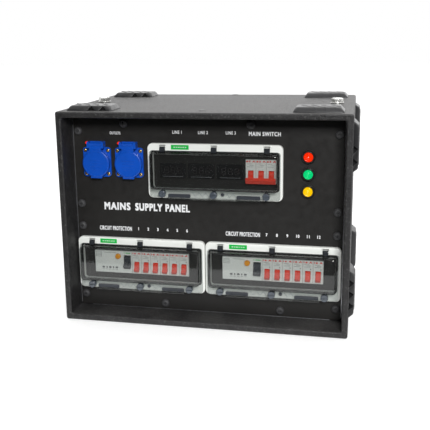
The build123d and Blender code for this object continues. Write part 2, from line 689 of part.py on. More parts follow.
with BuildPart() as inlet_housing:
    plate(INLET_X, INLET_Z, 80, 80, 8, REAR_FACE, REAR_FACE + 5)
    discs([(INLET_X, INLET_Z)], INLET_R, REAR_FACE + 5, INLET_MOUTH)
    discs([(INLET_X, INLET_Z)], 30.0, REAR_FACE - 40, REAR_FACE)
    discs([(INLET_X, INLET_Z)], INLET_R - 5, REAR_FACE + 10, INLET_MOUTH, mode=Mode.SUBTRACT)
    for side in (-1, 1):
        inner, outer = sorted((side * 8.3, side * 12.0))
        block(INLET_X + inner, INLET_X + outer, INLET_MOUTH - 11, INLET_MOUTH, INLET_Z + 32, INLET_PIN_Z + 4)
    discs([(INLET_X, INLET_Z)], INLET_R - 5, REAR_FACE + 10, INLET_MOUTH, mode=Mode.SUBTRACT)
    rod_x(INLET_X - 13, INLET_X + 13, INLET_PIN_Y, INLET_PIN_Z, SOCKET_PIN_R + 0.05, mode=Mode.SUBTRACT)
    with BuildSketch(facing_front(REAR_FACE + 14)):
        with Locations((INLET_X, INLET_Z)):
            with PolarLocations(18.5, 5, start_angle=-90):
                Circle(3.1)
    extrude(amount=20, mode=Mode.SUBTRACT)
save(inlet_housing, "inlet_housing")

with BuildPart() as inlet_lid:
    discs([(INLET_X, INLET_Z)], INLET_R + 2, INLET_MOUTH + 0.3, INLET_MOUTH + 6)
    fillet(inlet_lid.faces().sort_by(Axis.Y)[-1].edges(), radius=2)
    block(INLET_X - 8, INLET_X + 8, INLET_MOUTH + 0.3, INLET_MOUTH + 6, INLET_Z + 28, INLET_PIN_Z)
    block(INLET_X - 8, INLET_X + 8, INLET_PIN_Y, INLET_MOUTH + 6, INLET_Z + INLET_R + 1, INLET_PIN_Z)
    rod_x(INLET_X - 8, INLET_X + 8, INLET_PIN_Y, INLET_PIN_Z, 4.0)
    rod_x(INLET_X - 9, INLET_X + 9, INLET_PIN_Y, INLET_PIN_Z, SOCKET_PIN_R + 0.06, mode=Mode.SUBTRACT)
save(inlet_lid, "inlet_lid")


def outlet_contacts(x):
    """Sixteen contact centres of one outlet: two rows of eight."""
    return [(x + (i - 3.5) * 9.0, OUTLET_Z + dz) for i in range(8) for dz in (-6.5, 6.5)]


with BuildPart() as outlet_housings:
    for x in OUTLETS:
        # die-cast bulkhead housing with a stub axle for the lever at each end
        plate(x, OUTLET_Z, 116, 54, 5, REAR_FACE, REAR_FACE + 5)
        plate(x, OUTLET_Z, 2 * OUTLET_HALF, 38, 5, REAR_FACE + 5, REAR_FACE + 36)
        rod_x(x - OUTLET_HALF - 6, x + OUTLET_HALF + 6, OUTLET_PIVOT_Y, OUTLET_Z, 3.0)
        plate(x, OUTLET_Z, 90, 30, 2.5, REAR_FACE, REAR_FACE + 36, mode=Mode.SUBTRACT)
    for x in OUTLETS:
        # moulded insert with its contact chambers
        plate(x, OUTLET_Z, 89.6, 29.6, 2.2, REAR_FACE - 25, REAR_FACE + 18)
        discs(outlet_contacts(x), 1.8, REAR_FACE - 15, REAR_FACE + 18, mode=Mode.SUBTRACT)
save(outlet_housings, "outlet_housings")

for number, outlet_x in enumerate(OUTLETS, 1):
    with BuildPart() as outlet_lever:
        for side in (-1, 1):
            inner, outer = sorted((side * (OUTLET_HALF + 0.5), side * (OUTLET_HALF + 3.5)))
            rod_x(outlet_x + inner, outlet_x + outer, OUTLET_PIVOT_Y, OUTLET_Z, 6.5)
            block(outlet_x + inner, outlet_x + outer, OUTLET_PIVOT_Y - 4, OUTLET_PIVOT_Y + 4,
                  OUTLET_Z - 38, OUTLET_Z)
            rod_x(outlet_x + inner, outlet_x + outer, OUTLET_PIVOT_Y, OUTLET_Z, 3.06, mode=Mode.SUBTRACT)
        block(outlet_x - OUTLET_HALF - 3.5, outlet_x + OUTLET_HALF + 3.5, OUTLET_PIVOT_Y - 4, OUTLET_PIVOT_Y + 4,
              OUTLET_Z - 38, OUTLET_Z - 32)
    save(outlet_lever, f"outlet_lever_{number}")

with BuildPart() as contacts:
    for x in SOCKETS:
        tube_front, tube_back = PANEL_FRONT + 18.3, PANEL_FRONT + 36
        sleeves = [(x - 9.5, SOCKET_Z), (x + 9.5, SOCKET_Z)]
        discs(sleeves, 3.4, tube_front, tube_back)
        discs(sleeves, 2.5, tube_front, tube_back, mode=Mode.SUBTRACT)
        for dz in (-17.9, 17.9):
            block(x - 2.5, x + 2.5, PANEL_FRONT + 2, tube_back, SOCKET_Z + dz - 0.5, SOCKET_Z + dz + 0.5)
    with BuildSketch(facing_front(REAR_FACE + 40)):
        with Locations((INLET_X, INLET_Z)):
            with PolarLocations(18.5, 5, start_angle=-90):
                Circle(3.0)
    extrude(amount=45)
    for x in OUTLETS:
        discs(outlet_contacts(x), 1.75, REAR_FACE - 15, REAR_FACE + 16)
        discs(outlet_contacts(x), 1.1, REAR_FACE - 5, REAR_FACE + 16, mode=Mode.SUBTRACT)
save(contacts, "contacts")

with BuildPart() as hinge_pins:
    for cx, cz in WINDOWS.values():
        for dx in STATIONS:
            rod_x(cx + dx - 9.2, cx + dx + 9.2, HINGE_Y, cz + HINGE_Z, HINGE_PIN_R)
    for x in SOCKETS:
        rod_x(x - 15.5, x + 15.5, SOCKET_PIN_Y, SOCKET_PIN_Z, SOCKET_PIN_R)
    rod_x(INLET_X - 12, INLET_X + 12, INLET_PIN_Y, INLET_PIN_Z, SOCKET_PIN_R)
save(hinge_pins, "hinge_pins")

with BuildPart() as terminal_bars:
    for z in (175.0, 205.0):
        block(-60, 60, 60, 72, z - 6, z + 6)
        discs([(-54 + 9 * i, z) for i in range(13)], 2.2, 60, 66, mode=Mode.SUBTRACT)
        discs([(-50, z), (50, z)], 5, 72, REAR_BACK)
save(terminal_bars, "terminal_bars")


def loom(points, bend, radius):
    """Bundle of wires: straight runs joined by equal bends, round in section."""
    start = Vector(*points[0])
    with BuildLine() as run:
        FilletPolyline(*points, radius=bend)
    with BuildSketch(Plane(origin=start, z_dir=Vector(*points[1]) - start)) as section:
        Circle(radius)
    sweep(section.sketch, path=run.wires()[0])


with BuildPart() as wiring_looms:
    wire_y = PANEL_FRONT + 35.0
    main_top = device_z("top") + BODY_HALF
    main_foot = device_z("top") - BODY_HALF
    row_top = device_z("left") + BODY_HALF
    row_foot = device_z("left") - BODY_HALF
    # supply from the inlet to the head of the main switch
    loom([(INLET_X, REAR_FACE - 40, INLET_Z), (INLET_X, 0, INLET_Z), (INLET_X, 0, 345), (MAIN_X, 0, 345),
          (MAIN_X, wire_y, 345), (MAIN_X, wire_y, main_top)], 20, 8)
    # from the main switch's foot to the head of each residual-current breaker
    left_rcd, right_rcd = rcd_places()[0][0], rcd_places()[1][0]
    loom([(MAIN_X - 14, wire_y, main_foot), (MAIN_X - 14, wire_y, 195), (left_rcd, wire_y, 195),
          (left_rcd, wire_y, row_top)], 15, 6)
    loom([(MAIN_X + 14, wire_y, main_foot), (MAIN_X + 14, wire_y, 178), (right_rcd, wire_y, 178),
          (right_rcd, wire_y, row_top)], 15, 6)
    # six circuits from each breaker row to its outlet
    for x in (-84.9, 140.0):
        loom([(x, wire_y, row_foot), (x, wire_y, 32), (x, 40, 32), (x, 40, OUTLET_Z),
              (x, REAR_FACE - 25, OUTLET_Z)], 15, 10)
save(wiring_looms, "wiring_looms")
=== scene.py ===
import json
from math import cos, pi, radians, sin

import bmesh
import bpy
from mathutils import Matrix, Vector


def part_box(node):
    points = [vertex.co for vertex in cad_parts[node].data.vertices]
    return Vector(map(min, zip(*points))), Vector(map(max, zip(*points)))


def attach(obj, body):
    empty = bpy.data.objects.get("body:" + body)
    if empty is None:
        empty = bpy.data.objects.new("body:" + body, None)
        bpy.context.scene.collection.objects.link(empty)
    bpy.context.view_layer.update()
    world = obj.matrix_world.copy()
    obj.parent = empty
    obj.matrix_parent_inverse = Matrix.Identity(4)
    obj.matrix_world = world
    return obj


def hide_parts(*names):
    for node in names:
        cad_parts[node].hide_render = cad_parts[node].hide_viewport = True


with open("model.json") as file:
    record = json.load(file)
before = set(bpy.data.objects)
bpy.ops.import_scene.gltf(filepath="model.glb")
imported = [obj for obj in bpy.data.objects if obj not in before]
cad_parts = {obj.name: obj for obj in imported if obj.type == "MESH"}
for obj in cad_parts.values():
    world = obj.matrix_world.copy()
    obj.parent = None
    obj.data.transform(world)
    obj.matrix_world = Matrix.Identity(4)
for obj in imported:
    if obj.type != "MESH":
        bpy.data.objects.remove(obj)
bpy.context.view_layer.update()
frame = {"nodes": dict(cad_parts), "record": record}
scene = bpy.context.scene
MM = 0.001

# Places on the box, in millimetres, as in the CAD
PANEL_Y = -120.0
FRAME_Y = PANEL_Y - 8.0
LID_Y = PANEL_Y - 8.3 - 2.5
NOSE_Y = PANEL_Y - 4.0
BEZEL_Y = PANEL_Y - 3.0
REAR_Y = 100.0
TOP_Z = 384.0
SIDE_X = 255.0
WINDOWS = {"top": (18.5, 275.5), "left": (-120.7, 98.5), "right": (120.7, 98.5)}
STATIONS = (-92.5, 0.0, 92.5)
SOCKETS = (-197.5, -137.0)
SOCKET_Z = 286.5
LID_ARM_Z = 316.0
MODULE = 17.9
METERS = (-56.8, -5.3, 46.4)
METER_Z = 276.0
MAIN_X = 100.5
LAMP_X = 181.0
LAMPS = {"lamp_red": 305.0, "lamp_green": 275.0, "lamp_yellow": 245.0}
BOLT_X = 223.0
PLUGS = ((1.0, -134.5), (8.0, 160.0))
PAD_X, PAD_Y = 198.0, 128.0
SIDE_PAD_Z = (74.0, 328.0)


# ---------------------------------------------------------------- camera, lights and floor

def aim(position, yaw, pitch, roll):
    """Camera matrix from angles in degrees: yaw from +Y towards +X, pitch above the horizon."""
    yaw, pitch, roll = radians(yaw), radians(pitch), radians(roll)
    ahead = Vector((sin(yaw) * cos(pitch), cos(yaw) * cos(pitch), sin(pitch)))
    level = Vector((cos(yaw), -sin(yaw), 0.0))
    rise = level.cross(ahead)
    right = cos(roll) * level + sin(roll) * rise
    up = cos(roll) * rise - sin(roll) * level
    turn = Matrix((right, up, -ahead)).transposed()
    return Matrix.Translation(position) @ turn.to_4x4()


camera = bpy.data.objects.new("camera", bpy.data.cameras.new("camera"))
scene.collection.objects.link(camera)
camera.matrix_world = aim((0.2627, -1.3458, 0.5212), -12.75, -12.61, -1.0)
camera.data.sensor_width = 36.0
camera.data.lens = 60.73
camera.data.shift_x = 0.0424
camera.data.shift_y = -0.0568
camera.data.clip_start = 0.05
scene.camera = camera
scene.view_settings.view_transform = "Standard"


def softbox(name, position, target, width, height, power):
    """Rectangular studio light that faces a target."""
    lamp = bpy.data.lights.new(name, "AREA")
    lamp.shape = "RECTANGLE"
    lamp.size, lamp.size_y = width, height
    lamp.energy = power
    obj = bpy.data.objects.new(name, lamp)
    scene.collection.objects.link(obj)
    turn = (Vector(target) - Vector(position)).to_track_quat("-Z", "Y")
    obj.matrix_world = Matrix.Translation(position) @ turn.to_matrix().to_4x4()


softbox("key", (0.75, -2.3, 1.45), (0.0, -0.1, 0.2), 0.9, 0.7, 62)
softbox("overhead", (0.0, 0.4, 2.6), (0.0, 0.0, 0.0), 2.0, 1.4, 22)
softbox("back", (0.3, 2.6, 1.2), (0.0, 0.0, 0.3), 3.4, 1.6, 16)

world = bpy.data.worlds.new("studio")
scene.world = world
world.use_nodes = True
world.node_tree.nodes["Background"].inputs["Color"].default_value = (1.0, 1.0, 1.0, 1.0)
world.node_tree.nodes["Background"].inputs["Strength"].default_value = 1.0


# ---------------------------------------------------------------- materials

class Nodes:
    """A material's node tree with a short way to add and link nodes."""

    def __init__(self, name):
        self.material = bpy.data.materials.new(name)
        self.material.use_nodes = True
        self.tree = self.material.node_tree
        self.shader = self.tree.nodes["Principled BSDF"]
        self.output = self.tree.nodes["Material Output"]
        self.place = self.add("TexCoord").outputs["Object"]

    def add(self, kind, links=None, **values):
        node = self.tree.nodes.new("ShaderNode" + kind)
        for key, value in values.items():
            if key in node.bl_rna.properties and key not in node.inputs:
                setattr(node, key, value)
            else:
                node.inputs[key.replace("_", " ")].default_value = value
        for key, source in (links or {}).items():
            self.tree.links.new(source, node.inputs[key])
        return node

    def link(self, source, socket):
        self.tree.links.new(source, socket)

    def noise(self, scale, detail=3.0, stretch=None):
        """Noise over the rest position, one value from 0 to 1."""
        where = self.place
        if stretch:
            where = self.add("Mapping", {"Vector": where}, Scale=stretch).outputs["Vector"]
        return self.add("TexNoise", {"Vector": where}, Scale=scale, Detail=detail).outputs["Fac"]

    def remap(self, value, low, high, to_low=0.0, to_high=1.0):
        node = self.add("MapRange", {"Value": value})
        node.inputs["From Min"].default_value = low
        node.inputs["From Max"].default_value = high
        node.inputs["To Min"].default_value = to_low
        node.inputs["To Max"].default_value = to_high
        return node.outputs["Result"]

    def math(self, operation, a, b):
        node = self.add("Math", operation=operation)
        for socket, value in zip(node.inputs, (a, b)):
            if isinstance(value, (int, float)):
                socket.default_value = value
            else:
                self.link(value, socket)
        return node.outputs["Value"]

    def mix(self, share, a, b):
        """Blend of two colours, each a socket or three numbers."""
        node = self.add("Mix", data_type="RGBA")
        self.link(share, node.inputs[0])
        for socket, value in ((node.inputs[6], a), (node.inputs[7], b)):
            if isinstance(value, tuple):
                socket.default_value = (*value, 1.0)
            else:
                self.link(value, socket)
        return node.outputs[2]


def shade(colour, factor):
    return tuple(min(1.0, c * factor) for c in colour)


def surface(name, colour, rough, vary=0.18, patch=25.0, grain=(), wear=None, edge=0.0006, dust=0.0,
            painted_glints=None, **sockets):
    """Solid finish: mottled colour, uneven gloss, grain in relief, rounded and worn edges, dust on top, and
    painted glints on the grain where they are given.
    """
    n = Nodes(name)
    p = n.shader
    mottle = n.remap(n.noise(patch, 5.0), 0.32, 0.68)
    tone = n.mix(mottle, shade(colour, 1 - vary), shade(colour, 1 + vary))
    # painted glints: lighter specks in the colour stand in for highlights on the grain's bumps
    if painted_glints:
        tone = n.mix(n.remap(n.noise(310.0, 2.0), 0.58, 0.70), tone, painted_glints)
    gloss = n.remap(n.noise(patch * 7, 4.0), 0.3, 0.7, rough * 0.85, min(1.0, rough * 1.18))
    soft = n.add("Bevel", Radius=edge, samples=3).outputs["Normal"] if edge else None
    if wear:
        true_normal = n.add("NewGeometry").outputs["Normal"]
        level = n.add("VectorMath", {0: soft, 1: true_normal}, operation="DOT_PRODUCT")
        rubbed = n.math("MULTIPLY", n.remap(level.outputs["Value"], 0.985, 0.86),
                        n.remap(n.noise(160.0, 4.0), 0.42, 0.62))
        tone = n.mix(rubbed, tone, wear)
    if dust:
        upward = n.add("SeparateXYZ", {0: n.add("NewGeometry").outputs["Normal"]}).outputs["Z"]
        settled = n.math("MULTIPLY", n.remap(upward, 0.6, 1.0, 0.0, dust),
                         n.remap(n.noise(14.0, 6.0), 0.3, 0.75))
        tone = n.mix(settled, tone, (0.42, 0.41, 0.39))
        gloss = n.math("ADD", gloss, n.math("MULTIPLY", settled, 0.5))
    n.link(tone, p.inputs["Base Color"])
    n.link(gloss, p.inputs["Roughness"])
    normal = soft
    for scale, depth, detail in grain:
        bump = n.add("Bump", {"Height": n.noise(scale, detail)}, Strength=0.6, Distance=depth)
        if normal is not None:
            n.link(normal, bump.inputs["Normal"])
        normal = bump.outputs["Normal"]
    if normal is not None:
        n.link(normal, p.inputs["Normal"])
    for key, value in sockets.items():
        p.inputs[key.replace("_", " ")].default_value = value
    return n.material


def clear_plastic(name, tint, edge_tint, scratched=0.05):
    """Thin smoked plastic: darker and more mirror-like at glancing angles, with fine scratches."""
    n = Nodes(name)
    n.tree.nodes.remove(n.shader)
    facing = n.add("LayerWeight", Blend=0.5).outputs["Facing"]
    mirror = n.math("MULTIPLY_ADD", n.math("POWER", facing, 5.0), 0.55)
    mirror.node.inputs[2].default_value = 0.04
    scratch = n.remap(n.noise(60.0, 6.0, (1.0, 1.0, 9.0)), 0.45, 0.75, 0.03, 0.03 + scratched * 2)
    gloss = n.add("BsdfGlossy", {"Roughness": scratch})
    gloss.inputs["Color"].default_value = (1, 1, 1, 1)
    through = n.add("BsdfTransparent")
    smudge = n.remap(n.noise(18.0, 4.0), 0.35, 0.7)
    smudged = n.mix(smudge, shade(tint, 0.985), tint)
    n.link(n.mix(n.math("POWER", facing, 2.0), smudged, edge_tint), through.inputs["Color"])
    haze = n.add("BsdfDiffuse")
    n.link(n.mix(smudge, (0.5, 0.52, 0.52), (0.62, 0.64, 0.64)), haze.inputs["Color"])
    veil = n.add("MixShader", {1: through.outputs[0], 2: haze.outputs[0]})
    veil.inputs[0].default_value = scratched * 0.12
    both = n.add("MixShader", {0: mirror, 1: veil.outputs[0], 2: gloss.outputs[0]})
    n.link(both.outputs[0], n.output.inputs["Surface"])
    return n.material


def lens_plastic(name, colour, glow):
    """Translucent lamp lens that is a little lit from within, with fine moulded facets."""
    n = Nodes(name)
    p = n.shader
    cells = n.add("TexVoronoi", {"Vector": n.place}, Scale=620.0)
    lit = n.remap(cells.outputs["Distance"], 0.0, 0.7)
    tone = n.mix(lit, colour, shade(colour, 0.72))
    n.link(tone, p.inputs["Base Color"])
    n.link(tone, p.inputs["Emission Color"])
    n.link(n.remap(n.noise(300.0), 0.3, 0.7, 0.16, 0.3), p.inputs["Roughness"])
    facets = n.add("Bump", {"Height": cells.outputs["Distance"]}, Strength=0.5, Distance=0.0004)
    n.link(facets.outputs["Normal"], p.inputs["Normal"])
    p.inputs["Emission Strength"].default_value = glow
    p.inputs["Coat Weight"].default_value = 0.6
    return n.material


SHELL_GRAIN = ((400.0, 0.0018, 2.0), (1300.0, 0.0004, 2.0))
FINE_GRAIN = ((1400.0, 0.00012, 2.0),)
MOULDED = ((900.0, 0.00006, 2.0),)
CAST = ((700.0, 0.0003, 3.0),)

FINISH = {
    # the shell's light specks are painted glints on its grain, not its own colour
    "shell_rubber": surface("shell_rubber", (0.014, 0.0135, 0.014), 0.5, vary=0.4, patch=60.0,
                            grain=SHELL_GRAIN, wear=(0.11, 0.105, 0.10), edge=0.0012, dust=0.10,
                            painted_glints=(0.055, 0.054, 0.054)),
    "pad_rubber": surface("pad_rubber", (0.016, 0.016, 0.017), 0.36, vary=0.25, grain=((900.0, 0.0002, 2.0),),
                          wear=(0.10, 0.10, 0.10), edge=0.0008, dust=0.06),
    "grip_plastic": surface("grip_plastic", (0.018, 0.018, 0.018), 0.48, grain=CAST, wear=(0.07, 0.07, 0.07)),
    "panel_black": surface("panel_black", (0.0155, 0.0147, 0.0138), 0.46, vary=0.14, patch=12.0,
                           grain=FINE_GRAIN, wear=(0.07, 0.07, 0.07), Specular_IOR_Level=0.36),
    "screw_black": surface("screw_black", (0.040, 0.040, 0.042), 0.6, grain=MOULDED, wear=(0.12, 0.12, 0.13)),
    "stainless": surface("stainless", (0.60, 0.60, 0.58), 0.24, vary=0.12, grain=((1600.0, 0.00008, 2.0),),
                         wear=(0.85, 0.85, 0.83), Metallic=1.0),
    "zinc_steel": surface("zinc_steel", (0.50, 0.51, 0.53), 0.38, patch=60.0, grain=MOULDED, Metallic=1.0),
    "socket_blue": surface("socket_blue", (0.0012, 0.076, 0.50), 0.36, vary=0.07, patch=40.0, grain=MOULDED,
                           edge=0.0005, wear=(0.02, 0.16, 0.70), Coat_Weight=0.12),
    "brass": surface("brass", (0.66, 0.47, 0.20), 0.27, patch=180.0, grain=MOULDED, wear=(0.95, 0.8, 0.5),
                     Metallic=1.0),
    "bezel_black": surface("bezel_black", (0.016, 0.016, 0.016), 0.28, grain=MOULDED,
                           wear=(0.08, 0.08, 0.08)),
    "frame_white": surface("frame_white", (0.92, 0.94, 0.90), 0.36, vary=0.03, patch=16.0, grain=MOULDED,
                           edge=0.0007, wear=(0.9, 0.92, 0.88)),
    "knob_smoke": surface("knob_smoke", (0.075, 0.090, 0.11), 0.22, patch=200.0, grain=MOULDED,
                          wear=(0.34, 0.40, 0.46), Coat_Weight=0.7),
    "device_grey": surface("device_grey", (0.82, 0.84, 0.81), 0.5, vary=0.04, grain=MOULDED,
                           wear=(0.86, 0.88, 0.86)),
    "toggle_red": surface("toggle_red", (0.88, 0.055, 0.025), 0.32, vary=0.08, grain=MOULDED,
                          wear=(0.9, 0.22, 0.14)),
    "lever_dark": surface("lever_dark", (0.045, 0.05, 0.06), 0.3, grain=MOULDED, wear=(0.16, 0.17, 0.19)),
    "button_orange": surface("button_orange", (0.90, 0.36, 0.02), 0.3, vary=0.08, grain=MOULDED,
                             wear=(1.0, 0.58, 0.15)),
    "meter_black": surface("meter_black", (0.010, 0.010, 0.011), 0.22, grain=MOULDED,
                           wear=(0.07, 0.07, 0.07)),
    "inlet_red": surface("inlet_red", (0.50, 0.022, 0.018), 0.38, vary=0.1, grain=MOULDED,
                         wear=(0.66, 0.12, 0.1)),
    "diecast_grey": surface("diecast_grey", (0.34, 0.35, 0.36), 0.42, grain=CAST, wear=(0.6, 0.6, 0.6),
                            Metallic=0.7),
    "wire_black": surface("wire_black", (0.02, 0.02, 0.02), 0.45, grain=CAST),
    "lid_smoke": clear_plastic("lid_smoke", (0.87, 0.88, 0.875), (0.24, 0.25, 0.26)),
    "lens_red": lens_plastic("lens_red", (1.0, 0.030, 0.001), 0.42),
    "lens_green": lens_plastic("lens_green", (0.001, 0.66, 0.21), 0.42),
    "lens_yellow": lens_plastic("lens_yellow", (1.0, 0.60, 0.001), 0.44),
}


def flat_finish(name, colour, rough, vary, patch, edge=0.0):
    """Finish of a print, a small applied detail or a painted highlight."""
    return surface(name, colour, rough, vary=vary, patch=patch, edge=edge, grain=MOULDED)


ink_white = flat_finish("ink_white", (0.86, 0.87, 0.88), 0.5, 0.05, 200.0)
ink_red = flat_finish("ink_red", (0.78, 0.03, 0.02), 0.5, 0.1, 200.0)
ink_grey = flat_finish("ink_grey", (0.10, 0.105, 0.11), 0.5, 0.2, 200.0)
ink_green = flat_finish("ink_green", (0.05, 0.46, 0.09), 0.5, 0.1, 200.0)
sticker_green = flat_finish("sticker_green", (0.0, 0.52, 0.06), 0.34, 0.06, 60.0)
segment_dim = flat_finish("segment_dim", (0.022, 0.018, 0.018), 0.3, 0.2, 90.0)
ink_dark = flat_finish("ink_dark", (0.03, 0.03, 0.032), 0.5, 0.2, 200.0)
web_grey = flat_finish("web_grey", (0.36, 0.40, 0.40), 0.4, 0.1, 90.0)
hinge_smoke = flat_finish("hinge_smoke", (0.028, 0.031, 0.036), 0.25, 0.15, 200.0, edge=0.0004)
# light grey that paints the highlight on the voltmeters' bezel chamfers
painted_highlight_grey = flat_finish("painted_highlight_grey", (0.16, 0.165, 0.175), 0.3, 0.1, 90.0)

slot_of = {part["node"]: part["material_slot"] for part in frame["record"]["subparts"]}
for node, obj in frame["nodes"].items():
    obj.data.materials.clear()
    obj.data.materials.append(FINISH[slot_of[node]])


# ---------------------------------------------------------------- mesh helpers, in millimetres

def front(x, y, z):
    """Placement whose local X and Y lie across and up the front, and local Z points out of it."""
    return Matrix.Translation((x, y, z)) @ Matrix.Rotation(radians(90), 4, "X")


def rear(x, y, z):
    """The same for the back."""
    return Matrix.Translation((x, y, z)) @ Matrix.Rotation(pi, 4, "Z") @ Matrix.Rotation(radians(90), 4, "X")


def loft(bm, loops, place=Matrix(), ends=True):
    """Skin between closed loops of points, with flat ends unless it is a ring."""
    rings = [[bm.verts.new(place @ Vector(point)) for point in loop] for loop in loops]
    count = len(rings[0])
    for low, high in zip(rings, rings[1:]):
        for i in range(count):
            j = (i + 1) % count
            bm.faces.new((low[i], low[j], high[j], high[i]))
    if ends:
        bm.faces.new(rings[0][::-1])
        bm.faces.new(rings[-1])


def rounded(width, depth, radius, height, shift=0.0, steps=5):
    """Loop of a rounded rectangle at a height."""
    points = []
    for quarter, (sx, sy) in enumerate(((1, 1), (-1, 1), (-1, -1), (1, -1))):
        cx, cy = sx * (width / 2 - radius) + shift, sy * (depth / 2 - radius)
        for k in range(steps + 1):
            angle = pi / 2 * (quarter + k / steps)
            points.append((cx + radius * cos(angle), cy + radius * sin(angle), height))
    return points


def polygon(radius, height, sides, turn=0.0):
    return [(radius * cos(2 * pi * i / sides + turn), radius * sin(2 * pi * i / sides + turn), height)
            for i in range(sides)]


def lathe(bm, profile, place, sides=40):
    """Round piece from (radius, height) pairs."""
    loft(bm, [polygon(r, h, sides) for r, h in profile], place)


def bar(bm, width, depth, height, place, soften=0.25):
    """Low rounded bar standing on the placement's XY plane."""
    r = min(width, depth) * 0.3
    loft(bm, [rounded(width, depth, r, 0.0, steps=2),
              rounded(width, depth, r, height - soften * min(height, 1.0), steps=2),
              rounded(width - soften, depth - soften, r * 0.8, height, steps=2)], place)


def letters(bm, words, width, height, place, bold=0.0, thick=0.12):
    """Raised lettering of a cap height, centred on the placement, and fitted to a width if one is given."""
    curve = bpy.data.curves.new("letters", "FONT")
    curve.body = words
    curve.extrude = 0.5
    curve.resolution_u = 3
    curve.space_character = 1.15
    holder = bpy.data.objects.new("letters", curve)
    scene.collection.objects.link(holder)
    graph = bpy.context.evaluated_depsgraph_get()
    mesh = bpy.data.meshes.new_from_object(holder.evaluated_get(graph))
    bpy.data.objects.remove(holder)
    bpy.data.curves.remove(curve)
    points = [v.co for v in mesh.vertices]
    low = Vector([min(p[i] for p in points) for i in range(3)])
    high = Vector([max(p[i] for p in points) for i in range(3)])
    size = high - low
    tall = (height - 2 * bold) / size.y
    wide = (width - 2 * bold) / size.x if width else 0.82 * tall
    fit = Matrix.Diagonal((wide, tall, thick / size.z, 1.0))
    mesh.transform(fit @ Matrix.Translation((-(low.x + high.x) / 2, -(low.y + high.y) / 2, -low.z)))
    # heavier strokes come from copies set apart by the extra weight
    for k, (dx, dy) in enumerate(((-1, -1), (1, -1), (1, 1), (-1, 1)) if bold else ((0, 0),)):
        copy = mesh.copy()
        copy.transform(place @ Matrix.Translation((dx * bold, dy * bold, 0.02 * k)))
        bm.from_mesh(copy)
        bpy.data.meshes.remove(copy)
    bpy.data.meshes.remove(mesh)


def piece(bm, name, material, body="box", stands_for=(), angle=32):
    """Turn a bmesh in millimetres into an object that rides on a body."""
    bmesh.ops.recalc_face_normals(bm, faces=bm.faces)
    bmesh.ops.scale(bm, vec=(MM, MM, MM), verts=bm.verts)
    mesh = bpy.data.meshes.new(name)
    bm.to_mesh(mesh)
    bm.free()
    mesh.materials.append(material)
    mesh.polygons.foreach_set("use_smooth", [True] * len(mesh.polygons))
    mesh.set_sharp_from_angle(angle=radians(angle))
    obj = bpy.data.objects.new(name, mesh)
    scene.collection.objects.link(obj)
    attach(obj, body)
    if stands_for:
        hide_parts(*stands_for)


# ---------------------------------------------------------------- stacking pads

PAD_L, PAD_D, PAD_H = 84.0, 52.0, 10.0


def pad_top(u, v):
    """Height of the pad's plain surface over a point of its footprint."""
    inset = min(PAD_D / 2 - abs(v), PAD_L / 2 - u, (u + PAD_L / 2) * 0.7)
    return min(8.6, max(0.0, inset * 1.75))


def pad_mesh(notches):
    """Moulded pad: sloping flanks, gable notches in the -Y flank, and claw-like ridges over the top."""
    body = bmesh.new()
    levels = ((0.0, 0.0), (1.5, 0.5), (4.5, 2.3), (7.2, 4.0), (8.2, 5.0), (8.6, 6.6))
    loft(body, [rounded(PAD_L - 2.4 * inset, PAD_D - 2 * inset, 3 + inset * 0.5, h, shift=inset * 0.2)
                for h, inset in levels])
    cutter = bmesh.new()
    for centre in notches:
        gable = [(centre - 8.0, -1.0), (centre + 8.0, -1.0), (centre, 8.2)]
        loft(cutter, [[(u, y, h) for u, h in gable] for y in (-PAD_D / 2 - 2, -PAD_D / 2 + 9)])
    objects = []
    for bm in (body, cutter):
        bmesh.ops.recalc_face_normals(bm, faces=bm.faces)
        mesh = bpy.data.meshes.new("pad")
        bm.to_mesh(mesh)
        bm.free()
        objects.append(bpy.data.objects.new("pad", mesh))
        scene.collection.objects.link(objects[-1])
    cut = objects[0].modifiers.new("cut", "BOOLEAN")
    cut.object = objects[1]
    cut.operation = "DIFFERENCE"
    round_off = objects[0].modifiers.new("round", "BEVEL")
    round_off.width = 0.55
    round_off.segments = 2
    round_off.limit_method = "ANGLE"
    graph = bpy.context.evaluated_depsgraph_get()
    made = bpy.data.meshes.new_from_object(objects[0].evaluated_get(graph))
    for obj in objects:
        bpy.data.objects.remove(obj)
    shape = bmesh.new()
    shape.from_mesh(made)
    # across the ridge: place from flank to flank, and lift over the pad's plain surface
    section = ((-1.0, -1.6), (-0.75, 0.35), (-0.25, 1.25), (0.25, 1.4), (0.8, 0.3), (1.0, -1.6))
    for k in range(4):
        start = 30.0 - 16.5 * k
        loops = []
        for step in range(15):
            t = step / 14
            u, v = start - 26.0 * t ** 1.3, -13.0 + 37.0 * t
            swell = sin(pi * min(1.0, 0.12 + 0.95 * t) ** 0.8)
            half = 1.2 + 3.3 * swell
            across = Vector((0.82, 0.57))
            loop = []
            for side, lift in section:
                x, y = u + across.x * half * side, v + across.y * half * side
                x = max(-PAD_L / 2 + 1, min(PAD_L / 2 - 1, x))
                y = min(PAD_D / 2 - 0.4, y)
                height = pad_top(x, y) + lift * (0.25 + 0.75 * swell)
                loop.append((x, y, max(0.05, min(PAD_H - 0.05, height))))
            loops.append(loop)
        loft(shape, loops)
    out = bpy.data.meshes.new("pad_shape")
    shape.to_mesh(out)
    shape.free()
    return out


